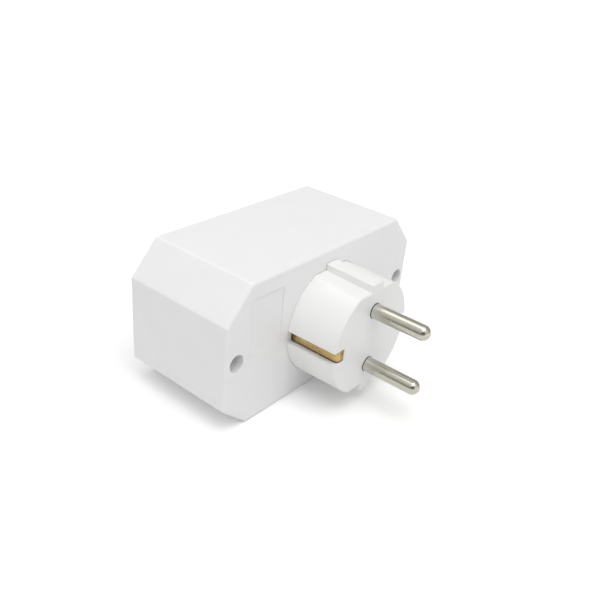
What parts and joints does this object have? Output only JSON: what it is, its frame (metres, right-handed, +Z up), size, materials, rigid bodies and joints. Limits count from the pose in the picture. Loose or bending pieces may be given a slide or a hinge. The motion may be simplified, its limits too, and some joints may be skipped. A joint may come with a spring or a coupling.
{
  "type": "multi socket adapter",
  "caption": "Faceted multi socket adapter with a round earthed pin plug on its back and recessed round earthed sockets side by side in its front.",
  "frame": {"origin": "middle of the whole part's length and depth, at the height of the flat foot that it lies on", "axes": "+X along the housing, from the left socket to the right one seen from the plug; +Y the way the sockets face, against the plug pins; +Z up, across the housing's height"},
  "size_m": [0.0896, 0.0764, 0.0468],
  "materials": {
    "housing_plastic": "satin white moulding",
    "cover_plastic": "satin white moulding",
    "head_plastic": "satin white moulding",
    "pin_nickel": "bright nickel plating",
    "strip_brass": "bare stamped strip",
    "contact_brass": "bare rolled strip",
    "earth_brass": "bare stamped and bent strip",
    "rivet_brass": "bare turned",
    "screw_steel": "bright zinc plating"
  },
  "bodies": {
    "root": {"rear_housing": "housing_plastic", "front_cover": "cover_plastic", "plug_head": "head_plastic", "upper_pin": "pin_nickel", "lower_pin": "pin_nickel", "upper_contact_bar": "strip_brass", "lower_contact_bar": "strip_brass", "left_upper_contact": "contact_brass", "right_upper_contact": "contact_brass", "left_lower_contact": "contact_brass", "right_lower_contact": "contact_brass", "plug_earth_strip": "earth_brass", "left_earth_bow": "earth_brass", "right_earth_bow": "earth_brass", "earth_link": "strip_brass", "upper_pin_rivet": "rivet_brass", "lower_pin_rivet": "rivet_brass", "left_earth_rivet": "rivet_brass", "middle_earth_rivet": "rivet_brass", "right_earth_rivet": "rivet_brass", "left_screw": "screw_steel", "right_screw": "screw_steel"}
  },
  "joints": []
}
